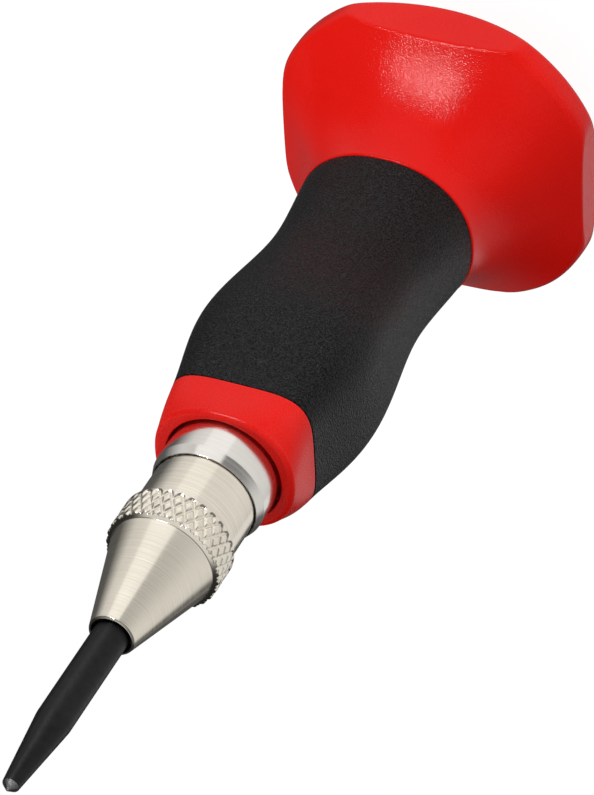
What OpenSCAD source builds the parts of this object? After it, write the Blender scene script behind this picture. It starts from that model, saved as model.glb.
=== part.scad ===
// Automatic center punch with a hand guard.
// The tool stands on its palm face, the axis is Z and the point is up.
// Lengths add up from the palm to the tip, all sizes are in millimetres.

/* [Hand guard] */
// Width of the guard across its side flats, along X
guard_w = 47; // [44:0.5:49]
// Depth of the guard across its front and back flats, along Y
guard_d = 44; // [41:0.5:47]
// Height of the guard from the palm face to the grip
guard_h = 30; // [27:0.5:36]
// Height of the front edge of the flats above the palm face
guard_flat_h = 13; // [11.5:0.5:15]
// Power of the flare's curve, higher hugs the grip longer
guard_flare = 1.8; // [1.4:0.1:2.4]
// Squareness of the guard's section at the front edge of the flats, 2 is an ellipse
guard_square = 2.8; // [2.2:0.1:3]
// Diameter over the round corners between the flats
guard_round_d = 51.6; // [50.5:0.1:54]
// Radius of the domed palm side
palm_dome_r = 36; // [33:1:45]
// Diameter of the flat land in the middle of the palm side
palm_land_d = 24; // [23.5:0.5:27]
// Diameter of the cap in the palm face
palm_cap_d = 22; // [18:0.5:22.5]
// Thickness of the cap in the palm face
palm_cap_t = 3; // [2:0.5:3.5]
// Thickness of the web that carries the handle screw
guard_web = 7; // [5:0.5:9]

/* [Handle] */
// Width of the handle's section over its depth
handle_aspect = 1.066; // [1:0.01:1.12]
// Length of the soft grip
grip_len = 49.5; // [46:0.5:56]
// Depth of the grip at the guard
grip_rear_d = 25; // [24:0.2:27]
// Depth of the grip at its waist
grip_waist_d = 22.4; // [21.8:0.2:24]
// Distance of the waist from the guard
grip_waist_at = 14.5; // [12:0.5:18]
// Depth of the grip at its belly
grip_belly_d = 25.6; // [24:0.2:28]
// Distance of the belly from the guard
grip_belly_at = 32.5; // [30:0.5:37]
// Depth of the grip where it meets the collar
grip_front_d = 20; // [19.8:0.1:22]
// Squareness of the grip's section at the guard
grip_square_rear = 2.2; // [2:0.1:3]
// Squareness of the grip's section at the belly
grip_square_belly = 2.8; // [2:0.1:3.2]
// Squareness of the grip's section where it meets the collar
grip_square_front = 4.2; // [2:0.1:5]
// Length of the collar in front of the grip
collar_len = 6.7; // [5:0.1:9]
// Depth of the collar behind its rounded lip
collar_front_d = 19.5; // [19.2:0.1:20.6]
// Squareness of the collar's section at its lip
collar_square = 2.3; // [2:0.1:2.8]
// Radius of the collar's rounded lip
collar_lip = 0.8; // [0.4:0.1:1]
// Radial gap between the collar's mouth and the tube
collar_gap = 0.35; // [0.2:0.05:0.5]
// Depth of the recess around the tube in the collar
collar_recess = 2.5; // [1.5:0.5:4]
// Wall of the handle core around the tube
core_wall = 1.2; // [1:0.05:1.3]

/* [Cap tube] */
// Outer diameter of the tube
tube_d = 16.5; // [16.4:0.05:16.8]
// Wall of the tube
tube_wall = 1.25; // [1:0.05:1.3]
// Length of tube that stands out of the collar
tube_proud = 6.3; // [5.5:0.1:8]
// Radial depth of the chamfer on the tube's front edge
tube_chamfer = 0.5; // [0.2:0.05:0.55]
// Length of the chamfer on the tube's front edge
tube_chamfer_len = 1.5; // [0.8:0.1:2]
// Depth of the counterbore that the barrel enters
tube_counterbore = 8.5; // [8:0.1:10]
// Length of the plug in the tube's rear end
plug_len = 6; // [5.5:0.1:8]
// Thickness of the thrust washer on the plug
thrust_t = 1; // [0.6:0.1:1.5]

/* [Barrel] */
// Diameter of the barrel where it shows
barrel_d = 15; // [14.8:0.05:15.05]
// Length of barrel that shows between the knurl and the tube
barrel_show = 8.2; // [7.5:0.1:9]
// Length of the full diameter inside the tube
barrel_lap = 4.5; // [4:0.1:5]
// Length of the threaded tail behind the full diameter
barrel_tail = 46; // [40:1:50]
// Bore for the hammer and the main spring
hammer_bore_d = 10.7; // [10.5:0.05:11]
// Bore for the return spring, ahead of the hammer's bore
pin_bore_d = 8.6; // [8.5:0.05:9]
// Distance from the knurl's rear edge to the end of the pin's bore
pin_bore_depth = 9.2; // [9:0.1:9.6]
// Diameter of the threaded spigot that the nose cap screws on
spigot_d = 11.2; // [11:0.1:11.6]
// Length of the threaded spigot
spigot_len = 5; // [4:0.1:5.4]
// Thickness of the friction ring in the barrel's groove
ring_t = 0.9; // [0.7:0.05:1]
// Depth of the friction ring behind the tube's front edge
ring_depth = 2.2; // [2:0.1:3]

/* [Nose cap] */
// Diameter over the knurl
knurl_d = 16.5; // [15.5:0.1:17.5]
// Length of the knurled band
knurl_len = 4.9; // [3.5:0.1:6]
// Length of the chamfer between knurl and cone
knurl_chamfer = 0.4; // [0.2:0.1:1]
// Diameter of the cone behind the mouth, at the knurl
cone_base_d = 15; // [13.5:0.1:15.4]
// Length of the cone
cone_len = 15.5; // [14.5:0.1:17.5]
// Outer diameter of the mouth
mouth_d = 6.6; // [6.4:0.1:7.4]
// Bore of the mouth, wider than the point
mouth_bore_d = 5.9; // [5.6:0.1:6.2]
// Depth of the mouth's bore
mouth_depth = 6.5; // [5.5:0.1:8]
// Diameter of the guide bush in the nose
guide_d = 7.4; // [7:0.1:7.8]
// Length of the guide bush
guide_len = 6; // [4.5:0.1:6.2]

/* [Punch point] */
// Diameter of the point's shank
point_d = 5; // [4.5:0.1:5.2]
// Length of point that stands out of the nose
point_out = 30.5; // [26:0.5:34]
// Length of the point's taper, tip included
point_taper = 13.3; // [10:0.1:18]
// Diameter of the taper behind the ground tip
tip_d = 2.4; // [1.6:0.1:3]
// Length of the ground tip
tip_len = 1.05; // [0.8:0.05:1.5]
// Diameter of the flat that blunts the tip
tip_flat_d = 0.3; // [0.2:0.05:0.5]
// Width of the relief groove behind the shank, hidden in the mouth
shank_groove = 1; // [0.8:0.1:1.5]
// Depth of the relief groove
shank_groove_depth = 0.3; // [0.2:0.05:0.5]
// Diameter of the point's head inside the nose
head_d = 8.3; // [7.9:0.05:8.35]
// Length of the point's head
head_len = 3; // [2.5:0.1:3.2]

/* [Release] */
// Travel of the point until the hammer falls
stroke = 8; // [6:0.5:8]
// Diameter of the release pin's collar
pin_collar_d = 7.8; // [7.4:0.1:8]
// Length of the release pin's collar
pin_collar_len = 2.5; // [2:0.1:3]
// Diameter of the release pin's shank
pin_shank_d = 4.7; // [4.4:0.05:4.8]
// Diameter of the stem that enters the hammer
pin_stem_d = 2.6; // [2.4:0.05:2.7]
// Length of the stem beyond the stroke
stem_spare = 0.5; // [0.3:0.1:1]
// Distance of the tilted stem's end from the axis
pin_offset = 0.95; // [0.85:0.05:1]
// Length of the centring bush with the taper
centring_len = 11.5; // [11:0.1:12.5]
// Length of the straight land behind the taper
centring_land = 1.2; // [0.8:0.1:1.4]
// Length of the hammer
hammer_len = 22; // [19:0.5:25]
// Depth of the hole in the hammer beyond the stem
hole_spare = 1; // [0.5:0.1:3]
// Diameter of the spigots that centre the main spring
spring_spigot_d = 6.2; // [5.6:0.1:6.4]
// Length of the spigots that centre the main spring
spring_spigot_len = 4; // [3:0.5:6]
// Thickness of the spring seat
seat_t = 3; // [2:0.5:4]

/* [Springs] */
// Wire of the main spring
main_wire = 1.5; // [1.2:0.05:1.55]
// Turns of the main spring
main_turns = 9; // [7:1:11]
// Wire of the return spring
return_wire = 0.6; // [0.5:0.05:0.65]
// Turns of the return spring
return_turns = 6; // [4:1:8]

/* [Screw] */
// Diameter of the handle screw's thread
screw_d = 4.9; // [4:0.1:5.5]
// Length of the screw's thread in the plug
screw_bite = 5; // [4:0.1:5]
// Diameter of the screw's head
screw_head_d = 8.5; // [7.5:0.5:9.5]
// Height of the screw's head
screw_head_h = 2.8; // [2.2:0.1:3]
// Depth of the hexagon socket
screw_socket_depth = 1.8; // [1.2:0.1:2]
// Width of the hexagon socket across its flats
screw_socket = 3; // [2.5:0.1:3.5]
// Diameter of the screw's washer
washer_d = 11; // [10:0.5:12]
// Thickness of the screw's washer
washer_t = 1; // [0.8:0.1:1.2]

/* [Fits] */
// Radial clearance of pieces that are pressed or glued together
seat_fit = 0.02; // [0.01:0.01:0.04]
// Radial clearance of pieces that slide or turn in each other
running_fit = 0.05; // [0.02:0.01:0.08]
// Gap between end faces that meet but move apart
face_gap = 0.05; // [0.03:0.01:0.08]

/* [Hidden] */
$fn = 96;

// Sides and ring spacing of the lofted handle pieces
loft_sides = 48;
loft_step = 3;
// Rings per turn and sides of a spring's wire
wire_rings = 12;
wire_sides = 6;
// Small length that lets cuts run past a face
cut = 1;
// Room between the palm cap and the screw's head
cap_room = 1.2;
// Clearance of screw, washer and discs in their holes
hole_gap = 0.2;
// Room around the main spring and the return spring in their bores
main_gap = 0.3;
return_gap = 0.5;
// Room around the friction ring in its groove and in the tube
ring_gap = 0.03;
// Height over which the guard's section turns round behind the front edge of the flats
rim_drop = 4;
// Bite of the flats into the flare at their front edge
flat_bite = 0.05;
// Step from the grip up to the guard
neck_step = 0.1;

red = [0.82, 0.05, 0.04];
black_rubber = [0.10, 0.10, 0.11];
nickel = [0.78, 0.75, 0.69];
polished = [0.86, 0.86, 0.86];
black_steel = [0.16, 0.16, 0.17];
spring_steel = [0.48, 0.48, 0.50];
bronze = [0.72, 0.52, 0.28];

// Heights of the outside, from the palm to the tip
z_grip = guard_h;
z_collar = z_grip + grip_len;
z_lip = z_collar + collar_len;
z_tube_front = z_lip + tube_proud;
z_knurl = z_tube_front + barrel_show;
z_cone = z_knurl + knurl_len + knurl_chamfer;
z_mouth = z_cone + cone_len;
z_tip = z_mouth + point_out;

// Heights inside the handle, from the palm
z_washer = palm_cap_t + cap_room + screw_head_h;
z_web = z_washer + washer_t;
z_core = z_web + guard_web;
z_plug = z_core + plug_len;
z_thrust = z_plug + thrust_t;
z_seat = z_thrust + face_gap + seat_t;

// Heights inside the barrel and the nose
z_spigot = z_knurl + spigot_len;
z_guide = z_mouth - mouth_depth - guide_len;
z_head_front = z_guide - face_gap;
z_head = z_head_front - head_len;
z_step = z_knurl - pin_bore_depth;
z_centring = z_step - centring_len;
z_hammer_front = z_centring - face_gap;
z_hammer = z_hammer_front - hammer_len;
z_lap = z_tube_front - barrel_lap;
z_tail = z_lap - barrel_tail;

// The release pin is turned about the middle of its nose
pin_gap = 2 * face_gap;
pin_nose_d = 2.8;
pin_nose_len = 0.3;
z_pivot = z_head - pin_gap;
z_pin_collar = z_pivot - pin_nose_len - pin_collar_len;
z_pin_end = z_centring + face_gap;
pin_stem_len = stroke + stem_spare;
z_pin_shank = z_pin_end + pin_stem_len;
pin_tilt = asin(pin_offset / (z_pivot - z_pin_end));
z_return = z_pin_collar - pin_collar_d / 2 * sin(pin_tilt);
taper_r = pin_bore_d / 2 - running_fit;
land_r = pin_shank_d / 2 + 2 * running_fit;

// Radii that several pieces share
tube_bore_r = tube_d / 2 - tube_wall;
core_r = tube_d / 2 + seat_fit + core_wall;
thread_r = tube_bore_r - running_fit;
counterbore_r = barrel_d / 2 + 2 * running_fit;
disc_r = tube_bore_r - hole_gap;
guide_bore_r = point_d / 2 + running_fit;
hammer_r = hammer_bore_d / 2 - 2 * running_fit;
spring_main_r = hammer_bore_d / 2 - main_gap - main_wire / 2;
spring_return_r = pin_bore_d / 2 - return_gap - return_wire / 2;
ring_major_r = counterbore_r - ring_gap - ring_t / 2;
z_ring = z_tube_front - ring_depth;

// Profile of the handle in steps of height, half depth and squareness
handle_stations = [
    [z_grip, grip_rear_d / 2, grip_square_rear],
    [z_grip + grip_waist_at, grip_waist_d / 2, (grip_square_rear + grip_square_belly) / 2],
    [z_grip + grip_belly_at, grip_belly_d / 2, grip_square_belly],
    [z_collar, grip_front_d / 2, grip_square_front],
    [z_lip - collar_lip, collar_front_d / 2, collar_square]
];

// Value of a smooth curve through the stations, column c, at height z
function slope_at(s, k, c) =
    k == 0 || k == len(s) - 1
        ? (s[min(k + 1, len(s) - 1)][c] - s[max(k - 1, 0)][c])
            / (s[min(k + 1, len(s) - 1)][0] - s[max(k - 1, 0)][0])
        : (s[k + 1][c] - s[k][c]) * (s[k][c] - s[k - 1][c]) <= 0
            ? 0
            : (s[k + 1][c] - s[k - 1][c]) / (s[k + 1][0] - s[k - 1][0]);
function span_of(s, z, k = 0) = k >= len(s) - 2 || z <= s[k + 1][0] ? k : span_of(s, z, k + 1);
function smooth(s, c, z) =
    let (k = span_of(s, z), h = s[k + 1][0] - s[k][0], t = (z - s[k][0]) / h)
    (2 * t ^ 3 - 3 * t ^ 2 + 1) * s[k][c]
        + (t ^ 3 - 2 * t ^ 2 + t) * h * slope_at(s, k, c)
        + (3 * t ^ 2 - 2 * t ^ 3) * s[k + 1][c]
        + (t ^ 3 - t ^ 2) * h * slope_at(s, k + 1, c);

// One superellipse ring: half width, half depth, squareness and height
function ring(hx, hy, n, z) = [
    for (i = [0 : loft_sides - 1])
        let (t = 360 * i / loft_sides, x = abs(cos(t)) / hx, y = abs(sin(t)) / hy)
            let (r = (x ^ n + y ^ n) ^ (-1 / n)) [r * cos(t), r * sin(t), z]
];
function handle_ring(z) =
    let (hy = smooth(handle_stations, 1, z)) ring(hy * handle_aspect, hy, smooth(handle_stations, 2, z), z);
function steps(z0, z1, step) =
    let (n = ceil((z1 - z0) / step)) [for (i = [0 : n]) z0 + (z1 - z0) * i / n];

// Closed solid through rings of equal length, the first ring lowest
module loft(rings) {
    n = len(rings[0]);
    top = (len(rings) - 1) * n;
    walls = [
        for (k = [0 : len(rings) - 2])
            for (i = [0 : n - 1])
                let (j = (i + 1) % n, a = k * n, b = a + n)
                    each [[a + i, b + i, b + j], [a + i, b + j, a + j]]
    ];
    floor = [for (i = [1 : n - 2]) [0, i, i + 1]];
    roof = [for (i = [1 : n - 2]) [top, top + i + 1, top + i]];
    polyhedron([for (r = rings) each r], concat(walls, floor, roof));
}

// Round wire wound on a helix between two end planes
module spring(mean_r, wire, turns, z0, z1) {
    n = turns * wire_rings;
    pitch = (z1 - z0 - wire - 2 * face_gap) / turns;
    echo(spring_gap = pitch - wire);
    loft([
        for (i = [0 : n])
            let (t = 360 * i / wire_rings, zc = z0 + face_gap + wire / 2 + pitch * i / wire_rings)
                [for (k = [0 : wire_sides - 1])
                    let (u = -360 * k / wire_sides, r = mean_r + wire / 2 * cos(u))
                        [r * cos(t), r * sin(t), zc + wire / 2 * sin(u)]]
    ]);
}

// Cylinder between two heights, with a cone if the radii differ
module turned(z0, z1, r0, r1 = undef) {
    translate([0, 0, z0])
        cylinder(h = z1 - z0, r1 = r0, r2 = is_undef(r1) ? r0 : r1);
}

// Ring between two heights
module tube(z0, z1, r_out, r_in) {
    difference() {
        turned(z0, z1, r_out);
        turned(z0 - cut, z1 + cut, r_in);
    }
}

// Section of the guard at height z: flare above the flats, round rim below them
function mix(a, b, t) = a + (b - a) * t;
function guard_ring(z) =
    let (
        t = min(1, (z_grip - z) / (z_grip - guard_flat_h)) ^ guard_flare,
        u = 1 - (1 - min(1, max(0, (guard_flat_h - z) / rim_drop))) ^ 2,
        neck = grip_rear_d / 2 + neck_step,
        hx = mix(mix(neck * handle_aspect, guard_w / 2 + flat_bite, t), guard_round_d / 2, u),
        hy = mix(mix(neck, guard_d / 2 + flat_bite, t), guard_round_d / 2, u),
        n = mix(mix(grip_square_rear, guard_square, t), 2, u)
    ) ring(hx, hy, n, z);

module hand_guard() {
    dome_z = sqrt(palm_dome_r ^ 2 - (palm_land_d / 2) ^ 2);
    rim = steps(guard_flat_h - rim_drop, guard_flat_h, rim_drop / 4);
    flare = [for (z = steps(guard_flat_h, z_grip, loft_step / 2)) if (z > guard_flat_h) z];
    heights = concat([0], rim, flare);
    color(red)
        difference() {
            intersection() {
                loft([for (z = heights) guard_ring(z)]);
                translate([-guard_w / 2, -guard_d / 2, 0])
                    cube([guard_w, guard_d, z_grip]);
                translate([0, 0, dome_z])
                    sphere(r = palm_dome_r);
            }
            turned(-cut, palm_cap_t, palm_cap_d / 2 + seat_fit);
            turned(-cut, z_web, washer_d / 2 + hole_gap);
            turned(-cut, z_grip, screw_d / 2 + hole_gap);
            turned(z_core, z_grip + cut, core_r + seat_fit);
        }
}

module palm_cap() {
    chamfer = 0.5;
    color(red)
        union() {
            turned(0, chamfer, palm_cap_d / 2 - chamfer, palm_cap_d / 2);
            turned(chamfer, palm_cap_t, palm_cap_d / 2);
        }
}

module handle_screw() {
    head_z = z_washer - screw_head_h;
    color(spring_steel)
        difference() {
            union() {
                turned(head_z, z_washer, screw_head_d / 2);
                turned(z_washer, z_core + screw_bite, screw_d / 2);
            }
            translate([0, 0, head_z - cut])
                cylinder(h = cut + screw_socket_depth, r = screw_socket / sqrt(3), $fn = 6);
        }
}

module screw_washer() {
    color(spring_steel)
        tube(z_washer, z_web, washer_d / 2, screw_d / 2 + hole_gap);
}

module handle_core() {
    lip_steps = 4;
    hy = collar_front_d / 2;
    lip = [
        for (i = [1 : lip_steps])
            let (a = 90 * i / lip_steps, inset = collar_lip * (1 - cos(a)), drop = collar_lip * (1 - sin(a)))
                ring(hy * handle_aspect - inset, hy - inset, collar_square, z_lip - drop)
    ];
    color(red)
        difference() {
            union() {
                turned(z_core, z_collar + cut, core_r);
                loft(concat(
                    [for (z = steps(z_collar, z_lip - collar_lip, loft_step / 2)) handle_ring(z)],
                    lip
                ));
            }
            turned(z_core - cut, z_lip + cut, tube_d / 2 + seat_fit);
            turned(z_lip - collar_recess, z_lip + cut, tube_d / 2 + collar_gap);
        }
}

module grip_sleeve() {
    color(black_rubber)
        difference() {
            loft([for (z = steps(z_grip, z_collar, loft_step)) handle_ring(z)]);
            turned(z_grip - cut, z_collar + cut, core_r + seat_fit);
        }
}

module cap_tube() {
    z_chamfer = z_tube_front - tube_chamfer_len;
    color(polished)
        difference() {
            union() {
                turned(z_core, z_chamfer, tube_d / 2);
                turned(z_chamfer, z_tube_front, tube_d / 2, tube_d / 2 - tube_chamfer);
            }
            turned(z_core - cut, z_tube_front + cut, tube_bore_r);
            turned(z_tube_front - tube_counterbore, z_tube_front + cut, counterbore_r);
        }
}

module tube_plug() {
    color(spring_steel)
        tube(z_core, z_plug, tube_bore_r - seat_fit, screw_d / 2 + running_fit);
}

module thrust_washer() {
    color(bronze)
        tube(z_plug, z_thrust, disc_r, screw_d / 2);
}

module spring_seat() {
    color(spring_steel)
        union() {
            turned(z_thrust + face_gap, z_seat, disc_r);
            turned(z_seat, z_seat + spring_spigot_len, spring_spigot_d / 2);
        }
}

module main_spring() {
    color(spring_steel)
        spring(spring_main_r, main_wire, main_turns, z_seat, z_hammer);
}

module hammer() {
    z_hole = z_hammer_front - pin_stem_len - hole_spare;
    color(spring_steel)
        difference() {
            union() {
                turned(z_hammer - spring_spigot_len, z_hammer, spring_spigot_d / 2);
                turned(z_hammer, z_hammer_front, hammer_r);
            }
            turned(z_hole, z_hammer_front + cut, pin_stem_d / 2 + hole_gap);
        }
}

module barrel() {
    groove_w = ring_t + 2 * ring_gap;
    groove_r = ring_major_r - ring_t / 2 - ring_gap;
    color(nickel)
        difference() {
            union() {
                turned(z_tail, z_lap, thread_r);
                turned(z_lap, z_knurl, barrel_d / 2);
                turned(z_knurl, z_spigot, spigot_d / 2);
            }
            turned(z_tail - cut, z_step, hammer_bore_d / 2);
            turned(z_step - cut, z_spigot + cut, pin_bore_d / 2);
            tube(z_ring - groove_w / 2, z_ring + groove_w / 2, barrel_d / 2 + cut, groove_r);
        }
}

module friction_ring() {
    color(black_rubber)
        translate([0, 0, z_ring])
            rotate_extrude()
                translate([ring_major_r, 0])
                    circle(d = ring_t, $fn = 32);
}

module centring_bush() {
    z_land = z_centring + centring_land;
    slope = (taper_r - land_r) / (z_step - z_land);
    color(spring_steel)
        difference() {
            turned(z_centring, z_step, hammer_bore_d / 2 - seat_fit);
            turned(z_centring - cut, z_step, land_r);
            turned(z_land, z_step + cut, land_r, taper_r + cut * slope);
        }
}

module return_spring() {
    color(spring_steel)
        spring(spring_return_r, return_wire, return_turns, z_step, z_return);
}

module release_pin() {
    color(spring_steel)
        translate([0, 0, z_pivot])
            rotate([0, pin_tilt, 0])
                translate([0, 0, -z_pivot])
                    union() {
                        turned(z_pin_end, z_pin_shank, pin_stem_d / 2);
                        turned(z_pin_shank, z_pin_collar, pin_shank_d / 2);
                        turned(z_pin_collar, z_pivot - pin_nose_len, pin_collar_d / 2);
                        turned(z_pivot - pin_nose_len, z_pivot, pin_nose_d / 2);
                    }
}

module nose_cap() {
    z_band = z_knurl + knurl_len;
    edge = 0.2;
    color(nickel)
        difference() {
            union() {
                turned(z_knurl, z_band, knurl_d / 2);
                turned(z_band, z_cone, knurl_d / 2, cone_base_d / 2);
                turned(z_cone, z_mouth - edge, cone_base_d / 2, mouth_d / 2);
                turned(z_mouth - edge, z_mouth, mouth_d / 2, mouth_d / 2 - edge);
            }
            turned(z_knurl - cut, z_spigot, spigot_d / 2 + seat_fit);
            turned(z_spigot - cut, z_guide, pin_bore_d / 2);
            turned(z_guide - cut, z_guide + guide_len, guide_d / 2);
            turned(z_guide, z_mouth + cut, mouth_bore_d / 2);
        }
}

module guide_bush() {
    color(bronze)
        tube(z_guide, z_guide + guide_len, guide_d / 2 - seat_fit, guide_bore_r);
}

module punch_point() {
    z_taper = z_tip - point_taper;
    z_groove = z_mouth - shank_groove;
    color(black_steel)
        union() {
            turned(z_head, z_head_front, head_d / 2);
            turned(z_head_front, z_groove, point_d / 2);
            turned(z_groove, z_mouth, point_d / 2 - shank_groove_depth);
            turned(z_mouth, z_taper, point_d / 2);
            turned(z_taper, z_tip - tip_len, point_d / 2, tip_d / 2);
            turned(z_tip - tip_len, z_tip, tip_d / 2, tip_flat_d / 2);
        }
}

hand_guard();
palm_cap();
handle_screw();
screw_washer();
handle_core();
grip_sleeve();
cap_tube();
tube_plug();
thrust_washer();
spring_seat();
main_spring();
hammer();
barrel();
friction_ring();
centring_bush();
return_spring();
release_pin();
nose_cap();
guide_bush();
punch_point();
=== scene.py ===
"""Looks of an automatic center punch with a hand guard, in metres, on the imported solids.

The tool stands on its palm face with the point up. Sizes below are in millimetres unless they say otherwise.
"""

import bpy
import numpy as np
from mathutils import Matrix, Vector


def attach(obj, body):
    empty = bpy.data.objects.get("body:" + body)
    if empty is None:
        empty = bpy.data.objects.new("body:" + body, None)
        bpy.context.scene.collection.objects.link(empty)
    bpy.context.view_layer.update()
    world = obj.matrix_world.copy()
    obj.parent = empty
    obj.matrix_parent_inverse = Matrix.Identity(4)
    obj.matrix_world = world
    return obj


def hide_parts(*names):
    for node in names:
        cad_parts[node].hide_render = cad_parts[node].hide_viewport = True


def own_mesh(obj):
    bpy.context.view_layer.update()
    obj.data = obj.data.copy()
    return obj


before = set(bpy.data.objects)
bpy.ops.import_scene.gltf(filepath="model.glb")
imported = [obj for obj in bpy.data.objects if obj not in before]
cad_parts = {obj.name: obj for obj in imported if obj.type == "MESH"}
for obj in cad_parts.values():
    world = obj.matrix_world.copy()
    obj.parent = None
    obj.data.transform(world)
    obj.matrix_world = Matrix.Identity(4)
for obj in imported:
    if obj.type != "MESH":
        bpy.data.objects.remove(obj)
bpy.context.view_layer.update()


# Hand guard: one moulding of filled red plastic that flares from the grip's section to a rim with four flats,
# and closes with a domed palm side. The mould is spark eroded, which leaves a fine satin texture.
# It is bored for the handle core, the screw with its washer, and the palm cap.
millimetre = 0.001


def skin(name, grid, loop=True):
    """Quads over a grid of points in millimetres, rows along the piece and columns round it.
    Each row closes on itself. The last row joins the first one in a loop, and otherwise both end rows
    close on a pole at their middle. Faces point out where rows climb on the outside."""
    rows, columns = grid.shape[:2]
    i, j = np.meshgrid(np.arange(rows if loop else rows - 1), np.arange(columns), indexing="ij")
    up, on = (i + 1) % rows, (j + 1) % columns
    quads = np.stack([i * columns + j, i * columns + on, up * columns + on, up * columns + j], -1)
    faces = quads.reshape(-1, 4).tolist()
    points = grid.reshape(-1, 3)
    if not loop:
        ring, last = np.arange(columns), (rows - 1) * columns
        following, low = (ring + 1) % columns, len(points)
        points = np.concatenate([points, grid[:1].mean(1), grid[-1:].mean(1)])
        faces += np.stack([0 * ring + low, following, ring], -1).tolist()
        faces += np.stack([0 * ring + low + 1, last + ring, last + following], -1).tolist()
    mesh = bpy.data.meshes.new(name)
    mesh.from_pydata((points * millimetre).tolist(), [], faces)
    mesh.shade_smooth()
    mesh.update()
    piece = bpy.data.objects.new(name, mesh)
    bpy.context.scene.collection.objects.link(piece)
    return piece


def eased(corners, steps=5):
    """Outline through corners (radius, height, reach): each corner but the two end ones becomes a quadratic
    curve that leaves both sides at the reach, with one more point at twice the reach on either side, which
    keeps the sides straight. The two end corners only give the directions of the first and last side."""
    spots = np.array(corners, float)
    place, reach = spots[:, :2], spots[1:-1, 2:]
    corner = place[1:-1]
    back, ahead = place[:-2] - corner, place[2:] - corner
    back /= np.linalg.norm(back, axis=1, keepdims=True)
    ahead /= np.linalg.norm(ahead, axis=1, keepdims=True)
    s = np.linspace(0, 1, steps)[None, :, None]
    curve = (
        (1 - s) ** 2 * (corner + back * reach)[:, None]
        + 2 * s * (1 - s) * corner[:, None]
        + s**2 * (corner + ahead * reach)[:, None]
    )
    before, after = [(corner + way * 2 * reach)[:, None] for way in (back, ahead)]
    return np.concatenate([before, curve, after], 1).reshape(-1, 2)


def carried(outline, angle):
    """Outline of radius and height carried round the axis: x = r cos t, y = r sin t, z = height."""
    r, z = outline[..., 0], outline[..., 1]
    if outline.ndim == 2:
        r, z = r[:, None], z[:, None]
    return np.stack([r * np.cos(angle), r * np.sin(angle), z + 0 * angle], -1)


def round_angles(columns):
    """Evenly spaced angles of one full turn."""
    return np.arange(columns) * 2 * np.pi / columns


def superellipse(angle, half_x, half_y, power):
    """Radius at an angle of the closed curve |x/half_x|^power + |y/half_y|^power = 1."""
    along_x, along_y = np.abs(np.cos(angle) / half_x), np.abs(np.sin(angle) / half_y)
    return (along_x**power + along_y**power) ** (-1 / power)


def blend(a, b, share):
    """Straight mix of two values."""
    return a + (b - a) * share


def finish(name, dark, light, rough, metal=0.0, cloud=60.0, grain=(900, 900, 900), depth=0.01, strength=0.5,
           shine=0.5, octaves=2, marks=0.2, brushed=0.0):
    """Principled material on Object coordinates: a soft cloud, with a share of marks of the fine grain, moves
    the colour between dark and light. The grain moves the roughness over its range and lifts the surface by a
    depth in millimetres. A brushed surface spreads its gloss along the axis, across turning marks round it."""
    tint_span, gloss_span, cloud_octaves, quarter_turn = (0.35, 0.65), (0.3, 0.7), 3, 0.25
    material = bpy.data.materials.new(name)
    material.use_nodes = True
    nodes, links = material.node_tree.nodes, material.node_tree.links
    shader = nodes["Principled BSDF"]
    shader.inputs["Metallic"].default_value = metal
    shader.inputs["Specular IOR Level"].default_value = shine
    shader.inputs["Anisotropic"].default_value = brushed
    shader.inputs["Anisotropic Rotation"].default_value = quarter_turn
    place, soft, stretch, fine, mixed, tint, gloss, lift = [
        nodes.new("ShaderNode" + kind)
        for kind in ("TexCoord", "TexNoise", "Mapping", "TexNoise", "Mix", "ValToRGB", "MapRange", "Bump")
    ]
    soft.inputs["Scale"].default_value, soft.inputs["Detail"].default_value = cloud, cloud_octaves
    links.new(place.outputs["Object"], soft.inputs["Vector"])
    stretch.inputs["Scale"].default_value = grain
    links.new(place.outputs["Object"], stretch.inputs["Vector"])
    fine.inputs["Scale"].default_value, fine.inputs["Detail"].default_value = 1, octaves
    links.new(stretch.outputs["Vector"], fine.inputs["Vector"])
    mixed.inputs["Factor"].default_value = marks
    links.new(soft.outputs["Fac"], mixed.inputs["A"])
    links.new(fine.outputs["Fac"], mixed.inputs["B"])
    for stop, position, colour in zip(tint.color_ramp.elements, tint_span, (dark, light)):
        stop.position, stop.color = position, (*colour, 1)
    links.new(mixed.outputs["Result"], tint.inputs["Fac"])
    links.new(tint.outputs["Color"], shader.inputs["Base Color"])
    for socket, value in zip(("From Min", "From Max", "To Min", "To Max"), (*gloss_span, *rough)):
        gloss.inputs[socket].default_value = value
    links.new(fine.outputs["Fac"], gloss.inputs["Value"])
    links.new(gloss.outputs["Result"], shader.inputs["Roughness"])
    lift.inputs["Strength"].default_value = strength
    lift.inputs["Distance"].default_value = depth * millimetre
    links.new(fine.outputs["Fac"], lift.inputs["Height"])
    links.new(lift.outputs["Normal"], shader.inputs["Normal"])
    return material


def dress(piece, material, body, node):
    """Gives a new piece its material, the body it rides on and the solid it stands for."""
    piece.data.materials.append(material)
    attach(piece, body)
    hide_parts(node)


guard_turn, guard_rows = round_angles(320), 196
neck_half, neck_power, section_aspect = 12.6, 2.2, 1.066
rim_half_x, rim_half_y, rim_power, rim_round, rim_ease = 23.5, 22.0, 2.8, 25.8, 4.0
flat_top, flat_power, flat_cover = 13.0, 90, 0.05
guard_top, flare_power = 30.0, 1.8
dome_radius, land_radius, land_edge = 36.0, 12.0, 11.5
dome_middle = np.sqrt(dome_radius**2 - land_radius**2)


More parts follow.
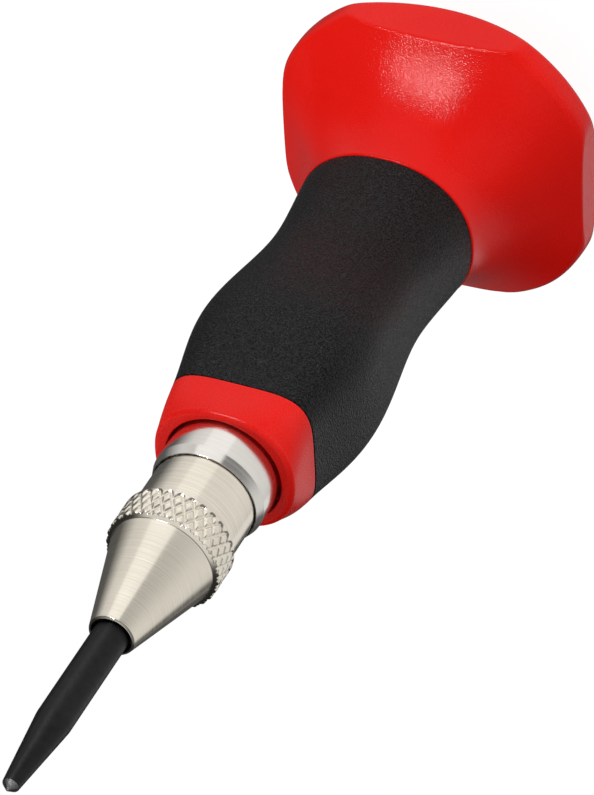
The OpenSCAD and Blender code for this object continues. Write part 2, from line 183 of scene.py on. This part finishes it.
def flare(angle, z):
    """Radius of the flare at an angle and a height: a superellipse whose halves and squareness run from the
    grip's section to the rim's with a power of the depth below the grip, and then ease into a circle."""
    depth = np.clip((guard_top - z) / (guard_top - flat_top), 0, 1) ** flare_power
    turn = 1 - (1 - np.clip((flat_top - z) / rim_ease, 0, 1)) ** 2
    half_x = blend(blend(neck_half * section_aspect, rim_half_x + flat_cover, depth), rim_round, turn)
    half_y = blend(blend(neck_half, rim_half_y + flat_cover, depth), rim_round, turn)
    return superellipse(angle, half_x, half_y, blend(blend(neck_power, rim_power, depth), 2, turn))


def joined(a, b, sharp):
    """Larger of two distances, rounded where they meet: max + log(1 + exp(-sharp |a - b|)) / sharp."""
    return np.maximum(a, b) + np.log1p(np.exp(-sharp * np.abs(a - b))) / sharp


def guard_outside(angle, rows):
    """Outside of the guard from the palm land up to the grip: in each half plane, rays turn about a hub inside
    and are halved down to where the joined distance to flare, flats, round rim, dome and land is nought."""
    hub_r, hub_z, farthest, halvings, probe = 8.0, 15.0, 40.0, 36, 0.05
    rim_sharp, dome_sharp, land_sharp = 14, 7, 5
    low = np.arctan2(land_edge - hub_r, -hub_z) + 0 * angle
    high = np.arctan2(flare(angle, guard_top) - hub_r, guard_top - hub_z)
    ray = low + (high - low) * np.linspace(0, 1, rows)[:, None]
    flats = superellipse(angle, rim_half_x, rim_half_y, flat_power)
    wall = (flats**-flat_power + rim_round**-flat_power) ** (-1 / flat_power)
    near, distant = np.zeros_like(ray), np.full_like(ray, farthest)
    for _ in range(halvings):
        middle = (near + distant) / 2
        r, z = hub_r + middle * np.sin(ray), hub_z + middle * np.cos(ray)
        slope = (flare(angle, z + probe) - flare(angle, z - probe)) / (2 * probe)
        shape = joined((r - flare(angle, z)) / np.hypot(1, slope), r - wall, rim_sharp)
        shape = joined(shape, np.hypot(r, z - dome_middle) - dome_radius, dome_sharp)
        inside = joined(shape, -z, land_sharp) < 0
        near, distant = np.where(inside, middle, near), np.where(inside, distant, middle)
    return np.stack([hub_r + near * np.sin(ray), np.maximum(hub_z + near * np.cos(ray), 0)], -1)


core_bore, screw_bore, head_bore, recess_bore = 9.49, 2.65, 5.7, 11.02
core_seat, head_seat, recess_seat, recess_break = 15.0, 8.0, 3.0, 0.15
guard_bore = eased(
    [(12.3, guard_top, 0), (core_bore, guard_top, 0.1), (core_bore, core_seat, 0.1),
     (screw_bore, core_seat, 0.1), (screw_bore, head_seat, 0.1), (head_bore, head_seat, 0.1),
     (head_bore, recess_seat, 0.1), (recess_bore, recess_seat, 0.1), (recess_bore, recess_break, 0.05),
     (recess_bore + recess_break, 0, 0.05), (land_edge, 0, 0)],
    steps=4,
)
outside = carried(guard_outside(guard_turn, guard_rows), guard_turn)
seam_share = 0.99
seam = outside[-1:] * [seam_share, seam_share, 1]
hand_guard = skin("guard_moulding", np.concatenate([outside, seam, carried(guard_bore, guard_turn)]))
guard_plastic = finish(
    "red_spark_plastic", (0.57, 0.0056, 0.0034), (0.63, 0.0080, 0.0048), (0.13, 0.20),
    cloud=45, grain=(5200, 5200, 5200), depth=0.030, strength=1.0, shine=0.12, octaves=0,
)
dress(hand_guard, guard_plastic, "handle", "hand_guard")


# Palm cap: a flat disc of the guard's plastic, pressed flush into the recess of the palm side, where it hides
# the screw. Its outer edge is broken so that it starts in the recess.
def turned(name, corners, columns=160, loop=True):
    """Piece turned on a lathe: the eased outline through corners, carried round the axis."""
    return skin(name, carried(eased(corners), round_angles(columns)), loop)


cap_radius, cap_height, cap_break = 11.0, 3.0, 0.4
palm_cap = turned(
    "palm_disc",
    [(0, 0, 0), (cap_radius - cap_break, 0, 0.2), (cap_radius, cap_break, 0.2), (cap_radius, cap_height, 0.15),
     (0, cap_height, 0)],
    loop=False,
)
dress(palm_cap, guard_plastic, "handle", "palm_cap")


# Handle screw and washer: a socket head screw of zinc plated steel that pulls the cap tube and the guard
# together, on a plain washer. Both are bought parts.
def coat(node, material):
    """Puts a material on a solid that keeps its shape."""
    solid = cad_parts[node]
    solid.data.materials.clear()
    solid.data.materials.append(material)


zinc = finish(
    "zinc_plate", (0.50, 0.51, 0.53), (0.60, 0.61, 0.62), (0.26, 0.40),
    metal=1.0, cloud=300, grain=(2600, 2600, 2600), depth=0.008,
)
coat("handle_screw", zinc)
coat("screw_washer", zinc)


# Handle core: a moulded sleeve of glossy red plastic, cemented over the cap tube. Its thin wall runs back through
# the grip into the guard, and its front end swells to the collar that shows, with a rounded lip round the tube.
# The handle's section is set at the grip's rear end, waist, belly and front end, and under the lip.
grip_back, grip_front, collar_front = 30.0, 79.5, 86.2
handle_heights = np.array([grip_back, 44.5, 62.5, grip_front, 85.4])
handle_halves = np.array([12.5, 11.2, 12.8, 10.0, 9.75])
handle_powers = np.array([2.2, 2.5, 2.8, 4.2, 2.3])


def flowing(z, heights, values):
    """Smooth curve through values at heights: cubic pieces whose slope is level at each high or low value, the
    mean slope of both neighbours elsewhere, and the slope of the one neighbour at an end."""
    step = np.diff(values) / np.diff(heights)
    mean = (values[2:] - values[:-2]) / (heights[2:] - heights[:-2])
    slope = np.concatenate([step[:1], np.where(step[1:] * step[:-1] > 0, mean, 0), step[-1:]])
    k = np.clip(np.searchsorted(heights, z) - 1, 0, len(heights) - 2)
    h = heights[k + 1] - heights[k]
    t = (z - heights[k]) / h
    return (
        (2 * t**3 - 3 * t**2 + 1) * values[k] + (t**3 - 2 * t**2 + t) * h * slope[k]
        + (3 * t**2 - 2 * t**3) * values[k + 1] + (t**3 - t**2) * h * slope[k + 1]
    )


def handle_rings(angle, heights, inset):
    """Rings of the handle's outside at heights, drawn in by an inset: superellipses whose half depth and power
    flow along the handle, and whose half width is the half depth times the section's aspect."""
    at = np.clip(heights, handle_heights[0], handle_heights[-1])
    half = flowing(at, handle_heights, handle_halves)
    power = flowing(at, handle_heights, handle_powers)[:, None]
    r = superellipse(angle, (half * section_aspect - inset)[:, None], (half - inset)[:, None], power)
    return carried(np.stack([r, heights[:, None] + 0 * r], -1), angle)


handle_turn = round_angles(192)
collar_rise, collar_rows, collar_start = 5.88, 40, 0.02
edge_depth, edge_run = 0.15, 0.08
lip, lip_turn = 0.8, np.linspace(0, np.pi / 2, 10)
collar_heights = np.concatenate([
    grip_front + np.linspace(collar_start, collar_rise, collar_rows),
    collar_front - lip + lip * np.sin(lip_turn),
])
collar_inset = np.concatenate([
    edge_depth * np.exp(-np.linspace(0, collar_rise, collar_rows) / edge_run),
    lip * (1 - np.cos(lip_turn)),
])
core_radius, core_inside, lip_bore, lip_seat = 9.47, 8.27, 8.6, 83.7
collar_bore = eased(
    [(9.5, collar_front, 0), (lip_bore, collar_front, 0.15), (lip_bore, lip_seat, 0.1),
     (core_inside, lip_seat, 0.05), (core_inside, core_seat, 0.1), (core_radius, core_seat, 0.1),
     (core_radius, grip_front, 0.1), (9.8, grip_front, 0)],
    steps=6,
)
handle_core = skin(
    "core_moulding",
    np.concatenate([handle_rings(handle_turn, collar_heights, collar_inset), carried(collar_bore, handle_turn)]),
)
core_plastic = finish(
    "red_gloss_plastic", (0.53, 0.0058, 0.0034), (0.59, 0.0082, 0.0050), (0.22, 0.32),
    cloud=70, grain=(4200, 4200, 4200), depth=0.02, strength=0.6, shine=0.16, octaves=0,
)
dress(handle_core, core_plastic, "handle", "handle_core")


# Grip sleeve: soft black elastomer moulded over the core, waisted for the fingers, with a fine leather grain from
# the mould, whose colour carries painted shade in the valleys and painted highlights on the crests. Its ends butt
# against the guard and the collar.
sleeve_ease, sleeve_gap, sleeve_rows = 0.15, 0.2, 180
end_turn = np.linspace(0, np.pi / 2, 7)
sleeve_heights = np.concatenate([
    grip_back + sleeve_ease * (1 - np.cos(end_turn)),
    np.linspace(grip_back + sleeve_ease + sleeve_gap, grip_front - sleeve_ease - sleeve_gap, sleeve_rows),
    grip_front - sleeve_ease * (1 - np.cos(end_turn[::-1])),
])
sleeve_end = sleeve_ease * (1 - np.sin(end_turn))
sleeve_inset = np.concatenate([sleeve_end, np.zeros(sleeve_rows), sleeve_end[::-1]])
sleeve_bore = eased(
    [(9.8, grip_front, 0), (core_bore, grip_front, 0.1), (core_bore, grip_back, 0.1), (12, grip_back, 0)], steps=4
)
grip_sleeve = skin(
    "soft_grip",
    np.concatenate([handle_rings(handle_turn, sleeve_heights, sleeve_inset), carried(sleeve_bore, handle_turn)]),
)
# Painted light: the fine noise that lifts the grain also runs the colour from near black in the valleys to lighter
# grey on the crests, as painted shade and painted highlights.
grip_rubber_painted_grain_shading = finish(
    "black_rubber_painted_grain_shading", (0.0002, 0.0002, 0.0002), (0.0120, 0.0120, 0.0122), (0.20, 0.36),
    cloud=120, grain=(4000, 4000, 4000), depth=0.20, strength=1.0, shine=0.13, octaves=1, marks=1.0,
)
dress(grip_sleeve, grip_rubber_painted_grain_shading, "handle", "grip_sleeve")


# Cap tube: polished and plated steel tube that carries the handle. The barrel screws into it, so its front edge
# has a long polished chamfer and a counterbore.
tube_radius, tube_bore, mouth_bore = 8.25, 7.0, 7.6
tube_back, mouth_seat, tube_front = 15.0, 84.0, 92.5
chamfer_run, chamfer_depth = 1.5, 0.5
cap_tube = turned(
    "polished_tube",
    [(tube_bore, tube_back, 0), (tube_radius, tube_back, 0.1), (tube_radius, tube_front - chamfer_run, 0.05),
     (tube_radius - chamfer_depth, tube_front, 0.04), (mouth_bore, tube_front, 0.04),
     (mouth_bore, mouth_seat, 0.1), (tube_bore, mouth_seat, 0.1), (tube_bore, tube_back, 0.1),
     (tube_radius, tube_back, 0)],
)
tube_plate = finish(
    "polished_nickel", (0.78, 0.75, 0.70), (0.86, 0.83, 0.78), (0.12, 0.20),
    metal=1.0, cloud=180, grain=(60, 60, 5200), depth=0.004, strength=0.3, marks=0.5, brushed=0.4,
)
dress(cap_tube, tube_plate, "handle", "cap_tube")


# Tube plug and thrust washer: a turned steel plug pressed into the rear end of the tube, tapped for the screw,
# and a bronze washer on it that the spring seat turns on.
turned_steel = finish(
    "turned_steel", (0.42, 0.42, 0.44), (0.52, 0.52, 0.54), (0.28, 0.42),
    metal=1.0, cloud=220, grain=(90, 90, 4200), depth=0.012,
)
turned_bronze = finish(
    "turned_bronze", (0.52, 0.33, 0.13), (0.62, 0.42, 0.19), (0.28, 0.42),
    metal=1.0, cloud=260, grain=(90, 90, 4200), depth=0.012,
)
coat("tube_plug", turned_steel)
coat("thrust_washer", turned_bronze)


# Spring seat, main spring and hammer: a turned seat with a spigot, the strong coil that drives the blow, and the
# hardened hammer that it pushes. The coil is oil tempered wire with closed end turns.
def coil(name, mean_r, wire, turns, z0, z1):
    """Round wire on a helix between two end planes: the height climbs by a little over one wire in each end turn
    and evenly in between, and a circle of the wire's size is carried along it in the plane through the axis."""
    steps_per_turn, wire_columns, closed = 40, 14, 1.02 * wire
    along = np.linspace(0, turns, int(turns * steps_per_turn) + 1)
    climbs = [0, closed, z1 - z0 - wire - 2 * closed, closed]
    height = np.interp(along, [0, 1, turns - 1, turns], np.cumsum(climbs))
    swing = round_angles(wire_columns)
    r = mean_r + wire / 2 * np.cos(swing) + 0 * along[:, None]
    turn = 2 * np.pi * along[:, None]
    z = z0 + wire / 2 + height[:, None] - wire / 2 * np.sin(swing)
    return skin(name, np.stack([r * np.cos(turn), r * np.sin(turn), z], -1), loop=False)


spring_wire = finish(
    "oil_tempered_wire", (0.20, 0.20, 0.22), (0.30, 0.30, 0.32), (0.30, 0.45),
    metal=1.0, cloud=400, grain=(1500, 1500, 1500), depth=0.006,
)
coat("spring_seat", turned_steel)
coat("hammer", turned_steel)
main_spring = coil("drive_coil", mean_r=4.3, wire=1.5, turns=9, z0=25.1, z1=57.9)
dress(main_spring, spring_wire, "seat", "main_spring")
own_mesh(main_spring)


# Barrel: turned from bar and nickel plated to a satin sheen. Its long threaded tail screws into the tube, a groove
# near the tube's edge holds the friction ring, and a short spigot carries the nose cap.
barrel_radius, tail_radius, groove_radius, spigot_radius = 7.5, 6.95, 6.64, 5.6
hammer_bore, pin_bore = 5.35, 4.3
tail_end, tail_top, groove_low, groove_high = 42.0, 88.0, 89.82, 90.78
bush_seat, nose_seat, spigot_end = 91.5, 100.7, 105.7
barrel = turned(
    "turned_barrel",
    [(hammer_bore, tail_end, 0), (tail_radius, tail_end, 0.15), (tail_radius, tail_top, 0.05),
     (barrel_radius, tail_top, 0.15), (barrel_radius, groove_low, 0.05), (groove_radius, groove_low, 0.05),
     (groove_radius, groove_high, 0.05), (barrel_radius, groove_high, 0.05), (barrel_radius, nose_seat, 0.05),
     (spigot_radius, nose_seat, 0.05), (spigot_radius, spigot_end, 0.1), (pin_bore, spigot_end, 0.1),
     (pin_bore, bush_seat, 0.1), (hammer_bore, bush_seat, 0.1), (hammer_bore, tail_end, 0.15),
     (tail_radius, tail_end, 0)],
)
satin_nickel = finish(
    "satin_nickel", (0.77, 0.71, 0.60), (0.90, 0.84, 0.73), (0.14, 0.22),
    metal=1.0, cloud=90, grain=(60, 60, 4200), depth=0.010, strength=0.35, marks=0.5, brushed=0.4,
)
dress(barrel, satin_nickel, "barrel", "barrel")


# Friction ring and centring bush: a nitrile ring in the barrel's groove that keeps the setting from creeping, and
# a hardened bush whose taper pushes the release pin in line.
ring_rubber = finish(
    "nitrile", (0.012, 0.012, 0.013), (0.022, 0.022, 0.023), (0.50, 0.65),
    cloud=400, grain=(3000, 3000, 3000), depth=0.01,
)
coat("friction_ring", ring_rubber)
coat("centring_bush", turned_steel)


# Return spring and release pin: a light coil that holds the pin and the point forward, and the hardened pin that
# stands askew on the point until the taper lines it up with the hole in the hammer.
return_spring = coil("return_coil", mean_r=3.5, wire=0.6, turns=6, z0=91.55, z1=102.75)
dress(return_spring, spring_wire, "barrel", "return_spring")
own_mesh(return_spring)
coat("release_pin", turned_steel)


# Nose cap and guide bush: a turned and nickel plated cone with a rolled diamond knurl, screwed on the barrel, and
# the bronze bush inside it that guides the point. The mouth has a small bright chamfer.
knurl_count, knurl_lead, knurl_depth, knurl_run = 31, 2.95, 0.30, 0.35
knurl_half, knurl_low, knurl_high = 8.25, nose_seat, 105.6
cone_half, cone_start = 7.5, 106.0


def knurl(angle, z):
    """Height from 0 to 1 of rolled diamonds: the lesser of two triangle waves that wind left and right round the
    band, each with as many starts as the knurl counts, cut level above half their height. The grooves
    run out before the rear edge."""
    starts, climb = knurl_count * angle / (2 * np.pi), (z - knurl_low) / knurl_lead
    left, right = starts + climb, starts - climb
    wave = np.minimum(np.abs(2 * (left % 1) - 1), np.abs(2 * (right % 1) - 1))
    return 1 - (1 - np.minimum(wave * 2, 1)) * np.clip((z - knurl_low) / knurl_run, 0, 1)


nose_turn = round_angles(knurl_count * 18)
nose_front, mouth_radius, mouth_break, point_bore = 121.5, 3.3, 0.2, 2.95
guide_radius, guide_low, guide_high, spigot_bore = 3.7, 109.0, 115.0, 5.62
nose_outline = eased(
    [(spigot_bore, knurl_low, 0), (knurl_half, knurl_low, 0.02), (knurl_half, knurl_high, 0.03),
     (cone_half, cone_start, 0.06), (mouth_radius, nose_front - mouth_break, 0.04),
     (mouth_radius - mouth_break, nose_front, 0.03), (point_bore, nose_front, 0.03), (point_bore, guide_high, 0.1),
     (guide_radius, guide_high, 0.1), (guide_radius, guide_low, 0.1), (pin_bore, guide_low, 0.1),
     (pin_bore, spigot_end, 0.1), (spigot_bore, spigot_end, 0.1), (spigot_bore, knurl_low, 0.1),
     (knurl_half, knurl_low, 0)],
    steps=3,
)
corner_points, band_margin, band_rows, knurl_end = 5, 0.1, 52, 0.03
rear_edge, front_edge, onward = np.split(nose_outline, [corner_points, 2 * corner_points])
band = np.linspace(knurl_low + band_margin, knurl_high - band_margin, band_rows)
band = np.stack([0 * band + knurl_half, band], -1)
share = np.linspace(0.15, 0.75, 6)
shoulder = np.stack([blend(knurl_half, cone_half, share), blend(knurl_high, cone_start, share)], -1)
nose_outline = np.concatenate([rear_edge, band, front_edge, shoulder, onward])
r, z = nose_outline[:, :1] + 0 * nose_turn, nose_outline[:, 1:] + 0 * nose_turn
outer = (z < cone_start - knurl_end) & (r > cone_half)
r = np.where(outer, np.minimum(r, knurl_half - knurl_depth * (1 - knurl(nose_turn, z))), r)
nose_cap = skin("knurled_nose", carried(np.stack([r, z], -1), nose_turn))
dress(nose_cap, satin_nickel, "barrel", "nose_cap")
coat("guide_bush", turned_bronze)


# Punch point: hardened tool steel, blackened, with a head that stays inside the nose, a straight shank and a long
# taper. A shallow relief in the nose's mouth parts the length that shows from the length that runs in the bush.
# Only the ground tip is bright.
head_radius, shank_radius, relief_radius, tip_radius, tip_flat = 4.15, 2.5, 2.2, 1.2, 0.15
head_low, head_high, relief_low, relief_high = 105.95, 108.95, 120.5, 121.5
taper_start, tip_start, tip_end = 138.7, 150.95, 152.0
punch_point = turned(
    "blackened_point",
    [(0, head_low, 0), (head_radius, head_low, 0.15), (head_radius, head_high, 0.15),
     (shank_radius, head_high, 0.1), (shank_radius, relief_low, 0.05), (relief_radius, relief_low, 0.05),
     (relief_radius, relief_high, 0.05), (shank_radius, relief_high, 0.05), (shank_radius, taper_start, 0.3),
     (tip_radius, tip_start, 0.06), (tip_flat, tip_end, 0.04), (0, tip_end, 0)],
    columns=128,
    loop=False,
)
black_oxide = finish(
    "black_oxide", (0.002, 0.002, 0.0022), (0.006, 0.006, 0.0063), (0.32, 0.44),
    cloud=900, grain=(900, 900, 3800), depth=0.02, shine=0.22, marks=0.4, brushed=0.8,
)
ground_steel = finish(
    "ground_steel", (0.22, 0.22, 0.22), (0.52, 0.52, 0.51), (0.24, 0.40),
    metal=1.0, cloud=1500, grain=(5000, 5000, 5000), depth=0.03, marks=0.5,
)
dress(punch_point, black_oxide, "point", "punch_point")
punch_point.data.materials.append(ground_steel)
point_faces, ground_from = punch_point.data.polygons, 150.99 * millimetre
middles = np.empty(len(point_faces) * 3)
point_faces.foreach_get("center", middles)
point_faces.foreach_set("material_index", (middles[2::3] > ground_from).astype(np.int32))


# Floor: a plain round sheet of pale paper that the tool stands on, in metres. It shows white, keeps the tool's
# shadow and fades into the white backdrop towards its edge. Mirrored and bounced light passes through it.
def any_of(tree, kinds):
    """One where a ray is of any of these kinds, and nought elsewhere."""
    path = tree.nodes.new("ShaderNodeLightPath")
    total = path.outputs[kinds[0]]
    for kind in kinds[1:]:
        either = tree.nodes.new("ShaderNodeMath")
        either.operation = "MAXIMUM"
        tree.links.new(total, either.inputs[0])
        tree.links.new(path.outputs[kind], either.inputs[1])
        total = either.outputs[0]
    return total


floor_radius, floor_drop, fade_start, fade_end = 0.30, 0.0002, 0.04, 0.14
paper_colour, paper_glow, backdrop_glow = (0.16, 0.16, 0.16, 1), 0.90, 1.0
ring = round_angles(96)
floor_mesh = bpy.data.meshes.new("floor")
floor_mesh.from_pydata(
    np.stack([floor_radius * np.cos(ring), floor_radius * np.sin(ring), 0 * ring - floor_drop], -1).tolist(),
    [], [list(range(len(ring)))],
)
floor = bpy.data.objects.new("floor", floor_mesh)
bpy.context.scene.collection.objects.link(floor)
paper = bpy.data.materials.new("pale_paper")
paper.use_nodes = True
tree = paper.node_tree
tree.nodes.remove(tree.nodes["Principled BSDF"])
sheet, glow, white, clear = [
    tree.nodes.new("ShaderNode" + kind) for kind in ("BsdfDiffuse", "Emission", "Emission", "BsdfTransparent")
]
sheet.inputs["Color"].default_value = paper_colour
glow.inputs["Strength"].default_value = paper_glow
white.inputs["Strength"].default_value = backdrop_glow
both = tree.nodes.new("ShaderNodeAddShader")
tree.links.new(sheet.outputs[0], both.inputs[0])
tree.links.new(glow.outputs[0], both.inputs[1])
spot, span, rim = [tree.nodes.new("ShaderNode" + kind) for kind in ("TexCoord", "VectorMath", "MapRange")]
span.operation, rim.interpolation_type = "LENGTH", "SMOOTHSTEP"
rim.inputs["From Min"].default_value, rim.inputs["From Max"].default_value = fade_start, fade_end
tree.links.new(spot.outputs["Object"], span.inputs[0])
tree.links.new(span.outputs["Value"], rim.inputs["Value"])
fading, shown = [tree.nodes.new("ShaderNodeMixShader") for _ in range(2)]
tree.links.new(rim.outputs["Result"], fading.inputs["Fac"])
tree.links.new(both.outputs[0], fading.inputs[1])
tree.links.new(white.outputs[0], fading.inputs[2])
tree.links.new(any_of(tree, ("Is Glossy Ray", "Is Transmission Ray", "Is Diffuse Ray")), shown.inputs["Fac"])
tree.links.new(fading.outputs[0], shown.inputs[1])
tree.links.new(clear.outputs[0], shown.inputs[2])
tree.links.new(shown.outputs[0], tree.nodes["Material Output"].inputs["Surface"])
floor_mesh.materials.append(paper)


# Light: a white studio, white to the eye. What lights the tool and shows in its metal is bright low walls in front
# and to the right, a brighter panel in front that stands higher, a low strip at the back right, a dark left and
# back, and a soft light overhead. Three lamps add the highlight on the guard and fill both sides.
world = bpy.data.worlds.new("studio")
bpy.context.scene.world = world
world.use_nodes = True
tree = world.node_tree
backdrop = tree.nodes["Background"]
backdrop.inputs["Color"].default_value = (1, 1, 1, 1)


def reckon(sign, a, b):
    """Sum, product, larger or angle of two values in the studio's tree."""
    step = tree.nodes.new("ShaderNodeMath")
    step.operation = sign
    for socket, value in zip(step.inputs, (a, b)):
        if isinstance(value, float):
            socket.default_value = value
        else:
            tree.links.new(value, socket)
    return step.outputs[0]


sky, ray = [tree.nodes.new("ShaderNode" + kind) for kind in ("TexCoord", "SeparateXYZ")]
tree.links.new(sky.outputs["Generated"], ray.inputs[0])
bearing = reckon("ARCTAN2", ray.outputs["Y"], ray.outputs["X"])
turn_share = reckon("ADD", reckon("MULTIPLY", bearing, 0.5 / np.pi), 0.5)


def levels(stops):
    """Brightness by the bearing of a ray round the tool's axis, from stops of degrees and brightness, with straight
    runs between."""
    ramp = tree.nodes.new("ShaderNodeValToRGB")
    for _ in stops[2:]:
        ramp.color_ramp.elements.new(0.5)
    for element, (_, level) in zip(ramp.color_ramp.elements, stops):
        element.color = (level, level, level, 1)
    for element, (degrees, _) in zip(ramp.color_ramp.elements, stops):
        element.position = (degrees + 180) / 360
    tree.links.new(turn_share, ramp.inputs["Fac"])
    return ramp.outputs["Color"]


def fall(start, end, low, whole=1.0):
    """Share of brightness by the height of a ray: whole below the start and smoothly over to low at the end."""
    drop = tree.nodes.new("ShaderNodeMapRange")
    drop.interpolation_type = "SMOOTHSTEP"
    for socket, value in zip(("From Min", "From Max", "To Min", "To Max"), (start, end, whole, low)):
        drop.inputs[socket].default_value = value
    tree.links.new(ray.outputs["Z"], drop.inputs["Value"])
    return drop.outputs["Result"]


walls_at = [(-180, 0.76), (-140, 0.78), (-110, 0.80), (-50, 0.80), (-30, 0.70), (-10, 0.32), (6, 0.10),
            (45, 0.08), (104, 0.08), (120, 0.12), (134, 0.68), (157, 0.74), (180, 0.76)]
panel_at = [(-180, 0), (-112, 0), (-105, 0.98), (-59, 0.98), (-51, 0), (180, 0)]
strip_at = [(-180, 0), (98, 0), (106, 0.80), (128, 0.80), (136, 0), (180, 0)]
walls = reckon("MULTIPLY", levels(walls_at), fall(-0.19, -0.14, low=0.24))
panel = reckon("MULTIPLY", levels(panel_at), fall(-0.05, 0.25, low=0.0))
strip = reckon("MULTIPLY", levels(strip_at), fall(-0.58, -0.45, low=0.0))
overhead = fall(0.72, 0.86, low=0.60, whole=0.0)
room = reckon("ADD", reckon("MAXIMUM", reckon("MAXIMUM", walls, panel), strip), overhead)
mirror_gain = reckon("MULTIPLY", any_of(tree, ("Is Glossy Ray", "Is Transmission Ray")), 0.05)
room = reckon("MULTIPLY", room, reckon("ADD", mirror_gain, 1.0))
tree.links.new(reckon("MAXIMUM", room, any_of(tree, ("Is Camera Ray",))), backdrop.inputs["Strength"])


def lamp(name, way, width, height, power, mirrored=True):
    """Oblong lamp, in metres and watts, along a direction from the tool's middle, which it faces."""
    tool_middle, distance = Vector((0, 0, 0.07)), 1.10
    light = bpy.data.lights.new(name, "AREA")
    light.shape, light.size, light.size_y, light.energy = "RECTANGLE", width, height, power
    holder = bpy.data.objects.new(name, light)
    way = Vector(way).normalized()
    holder.location = tool_middle + way * distance
    holder.rotation_mode = "QUATERNION"
    holder.rotation_quaternion = way.to_track_quat("Z", "Y")
    holder.visible_glossy = mirrored
    bpy.context.scene.collection.objects.link(holder)


lamp("key_lamp", (0.22, -0.90, 0.38), width=0.36, height=0.04, power=7.6)
lamp("right_lamp", (-0.80, -0.55, 0.10), width=1.2, height=1.2, power=9.0, mirrored=False)
lamp("left_lamp", (0.75, 0.50, 0.43), width=1.2, height=1.2, power=12.0, mirrored=False)


# Camera: the photograph's view, from above the point's side with the guard away from the lens. Its place, its three
# axes and its focal length in pixels of the photograph's height come from a fit to the outlines.
focal_pixels, photo_height, film = 5012, 795, 36.0
lens = bpy.data.cameras.new("view")
lens.sensor_width, lens.lens = film, film * focal_pixels / photo_height
lens.clip_start, lens.clip_end = 0.05, 20.0
camera = bpy.data.objects.new("view", lens)
camera_at = (-0.23304, -0.44263, 0.54198)
right, up, back = (-0.91420, 0.04385, -0.40289), (0.22920, -0.76396, -0.60319), (-0.33424, -0.64378, 0.68835)
camera.matrix_world = Matrix.Translation(camera_at) @ Matrix((right, up, back)).transposed().to_4x4()
bpy.context.scene.collection.objects.link(camera)
bpy.context.scene.camera = camera
bpy.context.scene.view_settings.view_transform = "Standard"
